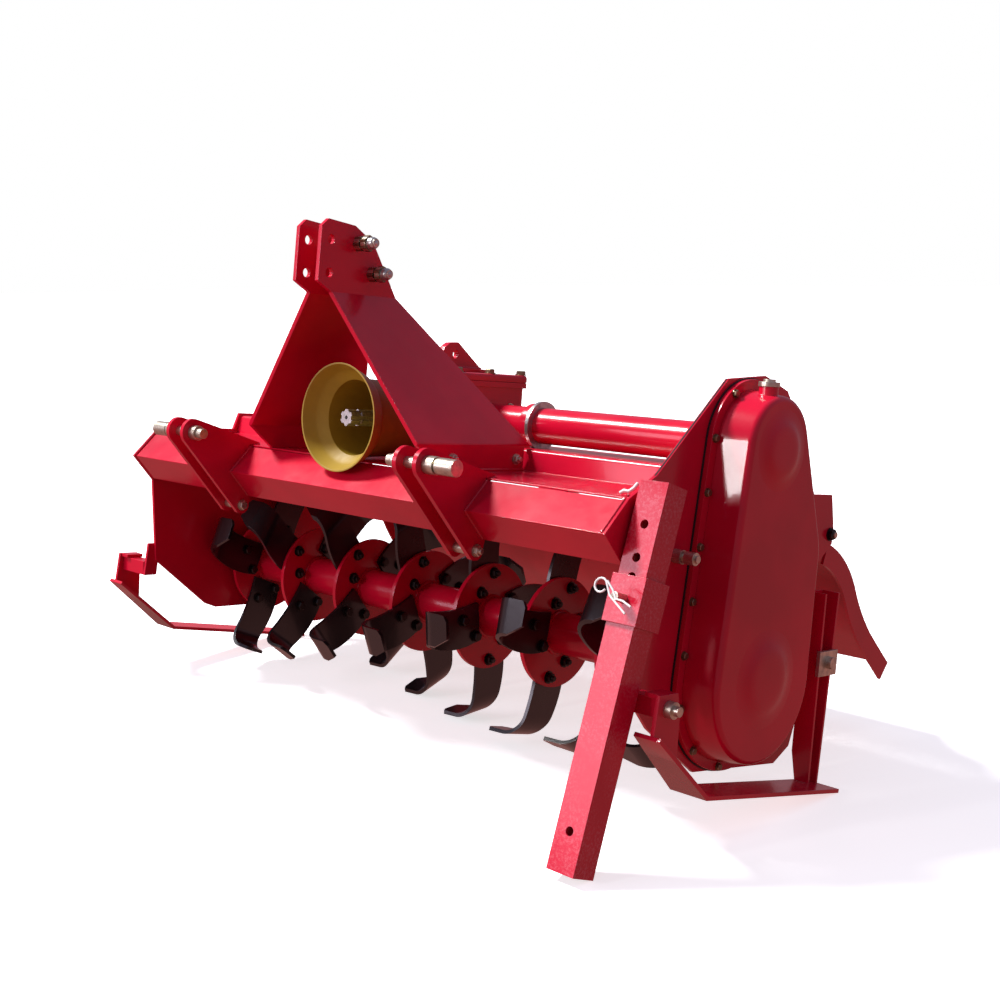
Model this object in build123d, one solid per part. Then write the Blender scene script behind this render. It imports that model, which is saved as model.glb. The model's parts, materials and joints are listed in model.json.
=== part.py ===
from build123d import *
import os
from math import atan2, cos, degrees, hypot, radians, sin, sqrt

os.makedirs("parts", exist_ok=True)

# A tractor-mounted rotary tiller. Millimetres: X across (gear case on +X), Y to the rear, Z up.
# It is drawn level, with the rotor's axis on Y = Z = 0, and turned onto its parking leg at the end.

# Driving sizes
half_width = 720            # mid plane to the outer face of a side plate
plate_t = 8                 # side plates
beam_side = 80              # square tube set on its corner
beam_y, beam_z = -367.4, 281
beam_wall = 6
sheet_t = 4                 # hood and tailgate
deck_z = 338                # underside of the hood's front deck
step_y, step_z = -101, 383  # fold of the hood up to the gearbox deck
drive_y, drive_z = -33, 434  # side shaft inside the drive tube
drive_r = 38
gearbox_x = 10
input_z = 428               # input shaft
gap = 0.05                  # running fit, on the radius

# Rotor
flange_count = 8
end_flange_gap = 28.1       # from a side plate to the middle of the end flange
flange_r = 118
flange_t = 10
rotor_tube_r = 44.5
stub_r = 25
tip_r = 242
tine_t = 8
wing_gap = 5.4              # between the tips of two flanges' blades
first_blade = -18           # degrees from straight down, on the leftmost flange
turn_per_flange = -16

# Lower hitch and mast
hitch_pin_y, hitch_pin_z = -529, 367
hitch_pin_r = 11
hitch_inner, hitch_outer = 330, 382    # near faces of the two plates of a clevis
hitch_t = 10
hitch_low = (-383, 204)     # bolt through the plates' lower ends
mast_half_gap = 29.5
mast_t = 10
mast_top_z, mast_fold_z, mast_foot_z = 824, 677, 392
mast_foot_x = 263
link_hole_r = 9.6
link_holes = [(-487, 718), (-487, 784)]
mast_bolts = [(-370, 724), (-413, 782)]

# Gear case: circles round the three gears
case_gears = [(drive_y - 2, 436, 104), (-4, 225, 150), (-17, 0, 163)]
case_flange_margin = 18
case_flange_t = 12
cover_depth = 66
cover_taper = 9
dome_rise = 7
filler_x, filler_y = half_width + 48, -46
screw_y, screw_z = -222, 236

# Parking leg, in its sleeve
leg_side = 57
leg_wall = 5
leg_length = 676
leg_lean = 14.7
leg_top_y, leg_top_z = -348, 375
sleeve_wall = 6
sleeve_gap = 0.3
sleeve_length = 84
leg_holes = [76, 134, 168, 208, 605]   # from the leg's top
leg_hole_r = 8
leg_pin_at = 208

# Skids
skid_reach = 122            # from a side plate's outer face to the sole's outer edge
skid_width, toe_width = 77, 53
skid_t = 8
toe = (-396, -52)
bend = (-241, -175)
heel = (208, -229)
upright_inset = 16          # from the sole's outer edge to the upright
pivot_y, pivot_z = -356, -3
strut_gap = 36              # from a side plate to the strut's web
strut_depth, strut_t = 40, 6
strut_front = 172
strut_top_width, strut_foot_width = 54, 36
strut_top = 156

# Tailgate
hinge_y, hinge_z = 303, 258
hinge_rod_r = 6
gate_gap = 6                # between the tailgate and a side plate
stay_y, stay_z = 502, 168   # trunnion of the stay rod, on the tailgate
lug_y, lug_z = 150, 420     # upper eye of the stay rod
brace_y, brace_z = -84, 574  # eye of the lifting plate on the gearbox
stay_x = gearbox_x
stay_r = 8
eye_clear = 4

inner_face = half_width - plate_t
gate_half = inner_face - gate_gap
flange_pitch = 2 * (inner_face - end_flange_gap) / (flange_count - 1)
tine_reach = (flange_pitch - flange_t - wing_gap) / 2
skid_outer = half_width + skid_reach
skid_inner = skid_outer - skid_width
upright_x = skid_outer - upright_inset
strut_x = half_width + strut_gap
deck_top = deck_z + sheet_t + 0.2
centre = (Align.CENTER, Align.CENTER, Align.MIN)


def yz_plate(points, x0, x1, radius=0):
    """A flat plate square to X, between x0 and x1, from (y, z) corners."""
    face = make_face(Polyline(points, close=True))
    if radius:
        face = fillet(face.vertices(), radius)
    return extrude(Plane.YZ.offset(x0) * face, x1 - x0)


def x_bar(radius, x0, x1, y, z):
    return Pos(x0, y, z) * Rot(0, 90, 0) * Cylinder(radius, x1 - x0, align=centre)


def y_bar(radius, y0, y1, x, z):
    return Pos(x, y0, z) * Rot(-90, 0, 0) * Cylinder(radius, y1 - y0, align=centre)


def box(x0, x1, y0, y1, z0, z1):
    corner = (Align.MIN, Align.MIN, Align.MIN)
    return Pos(x0, y0, z0) * Box(x1 - x0, y1 - y0, z1 - z0, align=corner)


def folded(points, thickness, x0, x1, radius):
    """A sheet bent along X: its lower face follows the (y, z) points."""
    path = FilletPolyline(points, radius=radius)
    strip = offset(path, amount=thickness, side=Side.LEFT)
    return extrude(Plane.YZ.offset(x0) * make_face(strip), x1 - x0)


def mirrored(shape):
    return mirror(shape, about=Plane.YZ)


# ---------------------------------------------------------------- frame
def square_on_corner(side):
    return Rot(0, 0, 45) * Rectangle(side, side)


def make_beam():
    ring = square_on_corner(beam_side) - square_on_corner(beam_side - 2 * beam_wall)
    ring = Pos(beam_y, beam_z) * ring
    return extrude(Plane.YZ.offset(-inner_face) * ring, 2 * inner_face)


def make_hood():
    """Front deck on the beam's top corner, step up to the gearbox deck, slope down to the hinge."""
    lower = [(beam_y, deck_z), (step_y - 10, deck_z), (step_y, step_z), (70, step_z), (235, 330), (281, 278)]
    shell = folded(lower, sheet_t, -inner_face, inner_face, 5)
    mouth = box(gearbox_x - 80, gearbox_x + 80, -150, 78, deck_z + 8, step_z + 20)
    return shell - mouth


def side_outline(top, bottom):
    nose = beam_side / sqrt(2) + 3
    front = [(beam_y, beam_z - nose), (beam_y - nose, beam_z), (beam_y, beam_z + nose)]
    back = [(230, 340), (hinge_y - 4, 338), (hinge_y + 13, 270), (hinge_y + 12, 238), (262, 196)]
    return front + top + back + bottom


def make_side_plate(top, bottom, sign):
    plate = yz_plate(side_outline(top, bottom), inner_face, half_width)
    plate -= x_bar(stub_r + 1, inner_face - 1, half_width + 1, 0, 0)
    plate -= x_bar(hinge_rod_r + gap, inner_face - 1, half_width + 1, hinge_y, hinge_z)
    return plate if sign > 0 else mirrored(plate)


def make_drive_tube():
    """From the gearbox to the gear case, with the clamp ring of its outer seal."""
    tube = x_bar(drive_r, gearbox_x + 78, inner_face, drive_y, drive_z)
    tube += x_bar(drive_r + 8, 208, 226, drive_y, drive_z)
    tube += x_bar(drive_r + 6, inner_face - 8, inner_face, drive_y, drive_z)
    return tube - x_bar(drive_r - 7, gearbox_x + 77, inner_face + 1, drive_y, drive_z)


# ---------------------------------------------------------------- gearbox and input
housing_top = 520


def make_housing():
    body = box(gearbox_x - 78, gearbox_x + 78, -148, 76, 352, housing_top)
    body = fillet(body.edges().filter_by(Axis.Z), 18)
    foot = box(gearbox_x - 98, gearbox_x + 98, -168, 96, step_z + sheet_t, step_z + sheet_t + 8)
    foot = fillet(foot.edges().filter_by(Axis.Z), 14)
    top_lip = box(gearbox_x - 84, gearbox_x + 84, -154, 82, housing_top - 12, housing_top)
    top_lip = fillet(top_lip.edges().filter_by(Axis.Z), 20)
    hub = y_bar(50, -172, -148, gearbox_x, input_z)
    bore = y_bar(17.5 + gap, -173, -100, gearbox_x, input_z)
    return body + foot + top_lip + hub - bore


def make_gearbox_cover():
    lid = box(gearbox_x - 84, gearbox_x + 84, -154, 82, housing_top, housing_top + 17)
    lid = fillet(lid.edges().filter_by(Axis.Z), 20)
    return chamfer(lid.faces().sort_by(Axis.Z)[-1].edges(), 4)


def make_input_shaft():
    """Six-spline shaft, 35 mm over the splines, with its centre hole and pin groove."""
    shaft = y_bar(14.5, -389, -101, gearbox_x, input_z)
    tooth = box(gearbox_x - 4.2, gearbox_x + 4.2, -389, -270, input_z + 12, input_z + 17.3)
    for k in range(6):
        shaft += tooth.rotate(Axis((gearbox_x, 0, input_z), (0, 1, 0)), 60 * k)
    shaft += y_bar(17.5, -270, -101, gearbox_x, input_z)
    groove = y_bar(20, -366, -358, gearbox_x, input_z) - y_bar(15.2, -367, -357, gearbox_x, input_z)
    return shaft - groove - y_bar(4, -390, -377, gearbox_x, input_z)


def make_guard():
    """Cup round the input shaft: flared mouth, step over the beam, back wall and neck on the hub."""
    outline = [(54, -172), (54, -232), (79, -236), (83, -366), (99, -380), (106, -398), (113, -415)]
    mouth = [(109.5, -415), (102, -398), (95, -384), (79, -368), (75, -240), (50.3, -236), (50.3, -172)]
    face = make_face(Polyline(outline + mouth, close=True))
    return Pos(gearbox_x, 0, input_z) * revolve(face, Axis.Y)


# ---------------------------------------------------------------- mast
def make_mast_plate():
    """Upright ear, sloping wall and foot flange, bent from one plate."""
    path = Polyline((mast_half_gap, mast_top_z), (mast_half_gap, mast_fold_z), (mast_foot_x - mast_t, mast_foot_z),
                    (mast_foot_x - mast_t, deck_top))
    strip = offset(path, amount=mast_t, side=Side.LEFT)
    bent = extrude(Plane.XZ.offset(90) * make_face(strip), 440)
    ear = [(-515, mast_fold_z + 23), (-513, mast_top_z - 15), (-496, mast_top_z), (-424, mast_top_z - 7),
           (-372, mast_top_z - 36), (-297, mast_fold_z)]
    foot = [(-100, mast_foot_z + 1), (-100, mast_foot_z - 3), (-118, mast_foot_z - 3), (-118, deck_top),
            (beam_y, deck_top), (-429, mast_foot_z - 1), (-476, mast_fold_z + 2)]
    outline = ear + foot
    sides = yz_plate(outline, 0, 300)
    plate = bent & sides
    for y, z in link_holes:
        plate -= x_bar(link_hole_r, 0, 60, y, z)
    for y, z in mast_bolts:
        plate -= x_bar(9 + gap, 0, 60, y, z)
    return plate


def make_mast_bolts():
    """Two spacer bolts through the rear of the ears."""
    bolts = []
    for y, z in mast_bolts:
        inner = mast_half_gap - 0.1
        bolt = x_bar(9, -62, 92, y, z)
        bolt += x_bar(15, -inner, inner, y, z)
        for x0, x1 in ((mast_half_gap + mast_t + 0.1, 56), (60, 74), (-56, -mast_half_gap - mast_t - 0.1)):
            bolt += x_bar(15, x0, x1, y, z)
        bolts.append(bolt)
    return Compound(bolts)


# ---------------------------------------------------------------- lower hitch
def make_hitch_plate(x0):
    """Eye in front, seat on the beam's front faces and top, and a rounded lower end with a bolt."""
    low_y, low_z = hitch_low
    outline = [(hitch_pin_y + 8, hitch_pin_z + 29), (-342, 347), (-342, deck_top), (beam_y - 3, deck_top),
               (beam_y - 3, beam_z), (-359, 228), (low_y + 19, low_z + 5), (low_y - 14, low_z - 13),
               (hitch_pin_y - 22, hitch_pin_z - 20)]
    plate = yz_plate(outline, x0, x0 + hitch_t)
    plate += x_bar(30, x0, x0 + hitch_t, hitch_pin_y, hitch_pin_z)
    plate += x_bar(19.5, x0, x0 + hitch_t, low_y, low_z)
    plate -= extrude(Plane.YZ.offset(x0 - 1) * (Pos(beam_y, beam_z) * square_on_corner(beam_side)), hitch_t + 2)
    return plate - x_bar(hitch_pin_r + gap, x0 - 1, x0 + hitch_t + 1, hitch_pin_y, hitch_pin_z)


def make_hitch_pin():
    """Pin through both plates: collar and nut outside, thin nut inside."""
    outer_face = hitch_outer + hitch_t
    pin = x_bar(hitch_pin_r, hitch_inner - 38, outer_face + 74, hitch_pin_y, hitch_pin_z)
    pin += x_bar(17, outer_face + 0.1, outer_face + 26, hitch_pin_y, hitch_pin_z)
    pin += x_bar(16, outer_face + 30, outer_face + 74, hitch_pin_y, hitch_pin_z)
    return pin + x_bar(16, hitch_inner - 20, hitch_inner - 0.1, hitch_pin_y, hitch_pin_z)


def make_hitch_spacer():
    return x_bar(10, hitch_inner + hitch_t, hitch_outer, hitch_low[0], hitch_low[1])


# ---------------------------------------------------------------- gear case
def case_outline(margin):
    edges = []
    for y, z, r in case_gears:
        edges += (Pos(y, z) * Circle(r + margin)).edges()
    return make_hull(edges)


def make_case_flange():
    flange = extrude(Plane.YZ.offset(half_width) * case_outline(case_flange_margin), case_flange_t)
    return flange - x_bar(stub_r + gap, half_width - 1, half_width + 9, 0, 0)


def make_case_cover():
    """Pressed cover with sloping walls, a rounded rim, and a boss over each shaft."""
    base = half_width + case_flange_t
    pan = extrude(Plane.YZ.offset(base) * case_outline(0), cover_depth, taper=cover_taper)
    pan = fillet(pan.faces().sort_by(Axis.X)[-1].edges(), 12)
    face_x = base + cover_depth
    for y, z, r in ((drive_y, 432, 48), (-18, 8, 60)):
        boss = x_bar(r, face_x - 2, face_x + dome_rise, y, z)
        pan += fillet(boss.faces().sort_by(Axis.X)[-1].edges(), dome_rise + 1)
    return pan + Pos(filler_x, filler_y, 500) * Cylinder(17, 46, align=centre)


def make_filler_cap():
    cap = Pos(filler_x, filler_y, 546) * Cylinder(19, 9, align=centre)
    return cap + Pos(filler_x, filler_y, 555) * Cylinder(11, 5, align=centre)


def make_case_screw():
    """Adjusting screw on the side plate, in front of the gear case."""
    screw = x_bar(7, half_width, half_width + 50, screw_y, screw_z)
    screw += x_bar(13, half_width, half_width + 19, screw_y, screw_z)
    return screw + x_bar(12, half_width + 25, half_width + 45, screw_y, screw_z)


# ---------------------------------------------------------------- rotor
def make_rotor():
    end = inner_face - 22
    tube = x_bar(rotor_tube_r, -end, end, 0, 0)
    tube += x_bar(stub_r, -half_width - 22, 1 - end, 0, 0)
    tube += x_bar(stub_r, end - 1, half_width + 8, 0, 0)
    tube -= x_bar(rotor_tube_r - 8, 50 - end, end - 50, 0, 0)
    for i in range(flange_count):
        x = (i - (flange_count - 1) / 2) * flange_pitch
        tube += x_bar(flange_r, x - flange_t / 2, x + flange_t / 2, 0, 0)
    return tube


def make_tine():
    """Sabre blade hanging down from X = 0: broad shank, tip swept to the front and bent over towards +X."""
    lead = ThreePointArc((42, -47), (45, -150), (0, -tip_r))
    end = Line((0, -tip_r), (-68, -tip_r))
    trail = ThreePointArc((-68, -tip_r), (-43, -150), (-42, -47))
    root = Line((-42, -47), (42, -47))
    blade = extrude(Plane.YZ * make_face([lead, end, trail, root]), tine_reach)
    low = 10 - tip_r
    straight = Line((0, -40), (0, low + 48))
    curve = TangentArc((0, low + 48), (46, low), tangent=(0, -1))
    wing = Line((46, low), (46, low) + (curve % 1) * 60)
    band = offset(straight + curve + wing, amount=tine_t, side=Side.LEFT)
    bent = extrude(Plane.XZ.offset(-110) * make_face(band), 220)
    plan = [(-1, 60), (34, 60), (34, 20), (tine_reach, -14), (tine_reach, -52), (tine_reach - 16, -76), (-1, -100)]
    swept = extrude(Plane.XY.offset(-tip_r - 5) * make_face(Polyline(plan, close=True)), tip_r)
    return blade & bent & swept


def make_tines(side):
    """Two to a flange on the face they bend away from; an end flange carries all four bent inward."""
    one = make_tine()
    if side < 0:
        one = mirrored(one)
    tines = []
    for i in range(flange_count):
        if i == (flange_count - 1 if side > 0 else 0):
            continue
        x = (i - (flange_count - 1) / 2) * flange_pitch + side * flange_t / 2
        start = first_blade + i * turn_per_flange + (0 if side > 0 else 90)
        count = 4 if i == (0 if side > 0 else flange_count - 1) else 2
        for k in range(count):
            tines.append(Pos(x, 0, 0) * Rot(start + 360 / count * k, 0, 0) * one)
    return Compound(tines)


def make_bearing():
    """Flanged bearing housing outside the left side plate."""
    x = -half_width
    flange = x_bar(78, x - 14, x, 0, 0)
    cap = x_bar(52, x - 44, x - 13, 0, 0)
    cap = fillet(cap.faces().sort_by(Axis.X)[0].edges(), 8)
    return flange + cap - x_bar(stub_r + gap, x - 24, x + 1, 0, 0)


# ---------------------------------------------------------------- tailgate
gate_start, gate_knee, gate_turn = (326, 236), (454, 134), (552, 20)
gate_start_slope = -17      # degrees, where the board leaves the hinge
gate_lip = 93               # straight end below the last bend


def gate_curve():
    """The board's outer line: a bulge over the tines, a counter bend and a straight lip."""
    start = radians(gate_start_slope)
    bulge = TangentArc(gate_start, gate_knee, tangent=(cos(start), sin(start)))
    turn = TangentArc(gate_knee, gate_turn, tangent=bulge % 1)
    end = Vector(*gate_turn) + (turn % 1) * gate_lip
    return bulge + turn + Line(gate_turn, end)


def make_tailgate():
    """Curved board with deep end ribs, knuckles on the hinge rod and ears for the stay."""
    path = gate_curve()
    board = make_face(offset(path, amount=sheet_t, side=Side.RIGHT))
    skin = extrude(Plane.YZ.offset(-gate_half) * board, 2 * gate_half)
    rib_face = make_face(offset(path, amount=44, side=Side.RIGHT))
    rib = extrude(Plane.YZ.offset(gate_half - 6) * rib_face, 6)
    gate = skin + rib + mirrored(rib)
    for x0, x1 in ((gate_half - 60, gate_half - 6), (6 - gate_half, 60 - gate_half), (-40, 40)):
        eye = x_bar(13, x0, x1, hinge_y, hinge_z)
        neck = yz_plate([(hinge_y - 9, hinge_z - 9), (hinge_y + 11, hinge_z - 6), (347, 224), (330, 216)], x0, x1)
        gate += eye + neck
    ears = [(stay_y - 14, stay_z + 10), (stay_y + 14, stay_z + 10), (stay_y + 22, 40), (stay_y - 38, 104)]
    for x in (stay_x - 33, stay_x + 25):
        gate += yz_plate(ears, x, x + 8)
    gate -= x_bar(hinge_rod_r + gap, -gate_half - 1, gate_half + 1, hinge_y, hinge_z)
    return gate - x_bar(8 + gap, stay_x - 40, stay_x + 40, stay_y, stay_z)


def make_hinge_rod():
    return x_bar(hinge_rod_r, -half_width - 14, half_width + 14, hinge_y, hinge_z)


stay_angle = degrees(atan2(stay_z - lug_z, stay_y - lug_y))
stay_run = hypot(stay_z - lug_z, stay_y - lug_y)
along_stay = Pos(stay_x, lug_y, lug_z) * Rot(stay_angle, 0, 0)


def make_trunnion():
    """Block between the tailgate's ears: the rod slides through it."""
    block = box(stay_x - 24, stay_x + 24, stay_y - 15, stay_y + 15, stay_z - 15, stay_z + 15)
    block = block.rotate(Axis((stay_x, stay_y, stay_z), (1, 0, 0)), stay_angle)
    block += x_bar(8, stay_x - 34, stay_x + 34, stay_y, stay_z)
    return block - along_stay * y_bar(stay_r + eye_clear, stay_run - 60, stay_run + 60, 0, 0)


def make_stay_rod():
    """Rod from the brace's lug, with its nuts and the cushion spring above the trunnion."""
    rod = y_bar(stay_r, 16, stay_run + 96, 0, 0)
    rod += x_bar(17, -9, 9, 0, 0)
    rod += y_bar(15, stay_run + 17, stay_run + 31, 0, 0)
    rod += y_bar(15, stay_run - 190, stay_run - 178, 0, 0)
    rod -= x_bar(8 + gap, -10, 10, 0, 0)
    return along_stay * rod


def make_stay_bracket():
    """Two cheeks on the hood's rear slope that hold the stay's pin."""
    cheek = [(110, 374.6), (190, 348.8), (172, 412), (162, 432), (138, 432), (128, 412)]
    cheeks = [yz_plate(cheek, x, x + 10) for x in (stay_x - 20, stay_x + 10)]
    return Compound([c - x_bar(8 + gap, stay_x - 30, stay_x + 30, lug_y, lug_z) for c in cheeks])


def make_brace():
    """Lifting plate on the gearbox lid."""
    outline = [(-138, 545), (0, 545), (-78, 601), (-104, 599), (-120, 588)]
    plate = yz_plate(outline, stay_x - 8, stay_x + 8) - x_bar(9, stay_x - 9, stay_x + 9, brace_y, brace_z)
    return plate + box(stay_x - 45, stay_x + 45, -145, 5, 537, 545)


def make_brace_pin():
    return x_bar(8, stay_x - 30, stay_x + 30, lug_y, lug_z)


# ---------------------------------------------------------------- skids
def make_skid():
    """Sole and turned-up, narrowing toe, with the upright that the pivot bolt holds."""
    sole = offset(Polyline(toe, bend, heel), amount=skid_t, side=Side.LEFT)
    strip = extrude(Plane.YZ.offset(skid_inner) * make_face(sole), skid_width)
    narrow = [(skid_inner - 1, toe[0] - 9), (skid_outer - toe_width, toe[0] - 9), (skid_outer - toe_width, toe[0]),
              (skid_inner, bend[0]), (skid_inner - 1, bend[0])]
    strip -= extrude(Plane.XY.offset(bend[1] - 5) * make_face(Polyline(narrow, close=True)), 200)
    top = pivot_z + 25
    up = [(toe[0] + 6, toe[1] + 3), (toe[0] + 14, top), (pivot_y + 26, top), (pivot_y + 36, pivot_z - 16),
          (pivot_y + 38, pivot_z - 104), (toe[0] + 20, toe[1] - 8)]
    upright = yz_plate(up, upright_x - skid_t, upright_x)
    upright += box(upright_x - 34, upright_x, toe[0] + 18, pivot_y + 24, top - skid_t, top)
    upright -= x_bar(9 + gap, upright_x - 20, upright_x + 1, pivot_y, pivot_z)
    return strip + upright


def sole_top(y):
    lift = skid_t / cos(atan2(bend[1] - heel[1], heel[0] - bend[0]))
    return bend[1] + (heel[1] - bend[1]) * (y - bend[0]) / (heel[0] - bend[0]) + lift


def make_strut():
    """Channel open to the outside, narrowing to the sole it stands on, with a slotted web."""
    rear_top, rear_foot = strut_front + strut_top_width, strut_front + strut_foot_width
    outline = [(strut_front, strut_top), (rear_top, strut_top), (rear_foot, sole_top(rear_foot)),
               (strut_front, sole_top(strut_front))]
    hollow = [(strut_front + strut_t, strut_top + 1), (rear_top - strut_t, strut_top + 1),
              (rear_foot - strut_t, sole_top(rear_foot) - 9), (strut_front + strut_t, sole_top(strut_front) - 9)]
    channel = yz_plate(outline, strut_x, strut_x + strut_depth)
    channel -= yz_plate(hollow, strut_x + strut_t, strut_x + strut_depth + 1)
    corner = [(strut_x - 1, sole_top(strut_front) + 60), (skid_inner + 4, sole_top(strut_front) - 12),
              (strut_x - 1, sole_top(strut_front) - 12)]
    channel -= extrude(Plane.XZ.offset(-strut_front + 10) * make_face(Polyline(corner, close=True)), -90)
    middle = strut_front + strut_foot_width / 2 + 4
    slot = Pos(middle, 30) * Rot(0, 0, 90) * SlotOverall(190, 15)
    return channel - extrude(Plane.YZ.offset(strut_x - 1) * slot, strut_t + 2)


def make_skid_arms():
    """Front arm for the pivot, on a doubler, and rear arm behind the slotted strut."""
    front = box(half_width + 8, upright_x - skid_t, pivot_y - 16, pivot_y + 20, pivot_z - 17, pivot_z + 17)
    front += yz_plate([(pivot_y - 16, pivot_z - 17), (pivot_y + 20, pivot_z - 17), (pivot_y + 26, 60),
                       (pivot_y - 8, 60)], half_width, half_width + 8)
    rear = box(half_width, strut_x, 174, 212, 4, 44)
    return front, rear


def make_skid_bolts():
    pivot = x_bar(9, upright_x - skid_t, upright_x + 24, pivot_y, pivot_z)
    pivot += x_bar(15, upright_x, upright_x + 14, pivot_y, pivot_z)
    face = strut_x + strut_depth
    middle = strut_front + strut_foot_width / 2 + 4
    clamp = box(face, face + 8, middle - 34, middle + 30, -4, 45)
    clamp += x_bar(7, strut_x, face, middle, 22)
    clamp += x_bar(12, face + 8, face + 18, middle, 22)
    return Compound([pivot, clamp])


# ---------------------------------------------------------------- parking leg
leg_x = half_width + sleeve_wall + sleeve_gap + leg_side / 2
leg_place = Pos(leg_x, leg_top_y, leg_top_z) * Rot(-leg_lean, 0, 0)


def square_tube(side, wall, z0, z1):
    outer = Pos(0, 0, z0) * Box(side, side, z1 - z0, align=centre)
    return outer - Pos(0, 0, z0 - 1) * Box(side - 2 * wall, side - 2 * wall, z1 - z0 + 2, align=centre)


def make_leg():
    """Square tube: local Y = 0 is its middle, Z falls from the top."""
    leg = square_tube(leg_side, leg_wall, -leg_length, 0)
    for s in leg_holes:
        leg -= y_bar(leg_hole_r, -50, 50, 0, -s)
    return leg_place * (Pos(0, leg_side / 2, 0) * leg)


def make_sleeve():
    side = leg_side + 2 * (sleeve_gap + sleeve_wall)
    top = leg_pin_at - sleeve_length / 2
    sleeve = square_tube(side, sleeve_wall, -top - sleeve_length, -top)
    sleeve -= y_bar(leg_hole_r, -60, 60, 0, -leg_pin_at)
    return leg_place * (Pos(0, leg_side / 2, 0) * sleeve)


def make_leg_pin():
    """The two ends of the locking pin, seated in the sleeve's walls."""
    face = leg_side / 2 + sleeve_gap
    front = y_bar(leg_hole_r - gap, -face - 34, -face - 0.2, 0, -leg_pin_at)
    rear = y_bar(leg_hole_r - gap, face + 0.2, face + 22, 0, -leg_pin_at)
    return leg_place * (Pos(0, leg_side / 2, 0) * Compound([front, rear]))


# ---------------------------------------------------------------- build, park and write
nodes = {}
nodes["front_beam"] = make_beam()
nodes["hood"] = make_hood()
near_top = [(-294, 380), (-102, 556), (20, 566), (100, 540), (165, 455)]
near_bottom = [(268, 68), (254, -74), (222, -168), (171, -197), (-105, -176), (-258, -76), (-358, 28)]
nodes["side_plate_right"] = make_side_plate(near_top, near_bottom, 1)
far_top = [(-294, 352), (-125, 352), (step_y - 8, step_z + 10), (80, step_z + 8)]
far_bottom = [(256, 40), (220, -70), (165, -113), (-150, -113), (-182, -102), (-345, 18)]
nodes["side_plate_left"] = make_side_plate(far_top, far_bottom, -1)
nodes["drive_tube"] = make_drive_tube()
nodes["gearbox_housing"] = make_housing()
nodes["gearbox_cover"] = make_gearbox_cover()
nodes["input_shaft"] = make_input_shaft()
nodes["input_guard"] = make_guard()
mast = make_mast_plate()
nodes["mast_plate_right"] = mast
nodes["mast_plate_left"] = mirrored(mast)
nodes["mast_bolts"] = make_mast_bolts()
nodes["hitch_plates_inner_right"] = make_hitch_plate(hitch_inner)
nodes["hitch_plates_outer_right"] = make_hitch_plate(hitch_outer)
nodes["hitch_plates_inner_left"] = mirrored(make_hitch_plate(hitch_inner))
nodes["hitch_plates_outer_left"] = mirrored(make_hitch_plate(hitch_outer))
pin = make_hitch_pin()
nodes["hitch_pin_right"] = pin
nodes["hitch_pin_left"] = mirrored(pin)
spacer = make_hitch_spacer()
nodes["hitch_spacers"] = Compound([spacer, mirrored(spacer)])
nodes["case_flange"] = make_case_flange()
nodes["case_cover"] = make_case_cover()
nodes["filler_cap"] = make_filler_cap()
nodes["case_screw"] = make_case_screw()
nodes["rotor_shaft"] = make_rotor()
nodes["tines_right"] = make_tines(1)
nodes["tines_left"] = make_tines(-1)
nodes["rotor_bearing"] = make_bearing()
nodes["tailgate"] = make_tailgate()
nodes["tailgate_hinge_rod"] = make_hinge_rod()
nodes["stay_trunnion"] = make_trunnion()
nodes["stay_rod"] = make_stay_rod()
nodes["stay_bracket"] = make_stay_bracket()
nodes["lifting_plate"] = make_brace()
nodes["stay_pin"] = make_brace_pin()
skid = make_skid()
nodes["skid_right"] = skid
nodes["skid_left"] = mirrored(skid)
strut = make_strut()
nodes["skid_strut_right"] = strut
nodes["skid_strut_left"] = mirrored(strut)
front_arm, rear_arm = make_skid_arms()
nodes["skid_arms_right"] = Compound([front_arm, rear_arm])
nodes["skid_arms_left"] = mirrored(Compound([front_arm, rear_arm]))
bolts = make_skid_bolts()
nodes["skid_bolts_right"] = bolts
nodes["skid_bolts_left"] = mirrored(bolts)
nodes["leg_sleeve"] = make_sleeve()
nodes["parking_leg"] = make_leg()
nodes["leg_pin"] = make_leg_pin()

# The parked machine stands on the leg's rear lower edge and the heels of both skids.
lean = radians(leg_lean)
foot_y = leg_top_y - sin(lean) * leg_length + cos(lean) * leg_side
foot_z = leg_top_z - cos(lean) * leg_length - sin(lean) * leg_side
park_pitch = degrees(atan2(heel[1] - foot_z, heel[0] - foot_y))
parked = {name: Rot(-park_pitch, 0, 0) * shape for name, shape in nodes.items()}
bounds = Compound([s for shape in parked.values() for s in shape.solids()]).bounding_box()
shift = Pos(0, -(bounds.min.Y + bounds.max.Y) / 2, -bounds.min.Z)
for name, shape in parked.items():
    export_step(shift * shape, f"parts/{name}.step")
print("park pitch", park_pitch, "shift", shift.position, "size", bounds.size)
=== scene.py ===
"""Finishes, small hardware and stage for a tractor-mounted rotary tiller."""
import json
import math

import bmesh
import bpy
from bpy.props import FloatProperty, FloatVectorProperty, PointerProperty
from mathutils import Matrix, Vector


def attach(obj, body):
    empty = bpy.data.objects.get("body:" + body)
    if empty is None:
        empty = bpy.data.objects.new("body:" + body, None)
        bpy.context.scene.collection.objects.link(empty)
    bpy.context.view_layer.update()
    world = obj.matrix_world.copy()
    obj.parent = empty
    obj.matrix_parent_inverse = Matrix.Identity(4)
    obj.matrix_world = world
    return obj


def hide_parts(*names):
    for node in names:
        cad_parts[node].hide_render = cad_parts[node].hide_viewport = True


bl_info = {
    "name": "Rotary Tiller",
    "version": (1, 0, 0),
    "blender": (4, 5, 0),
    "location": "3D View > Sidebar > Tiller",
    "description": "Dresses the packed tiller with paint, hardware and a studio",
    "category": "Object",
}

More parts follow.
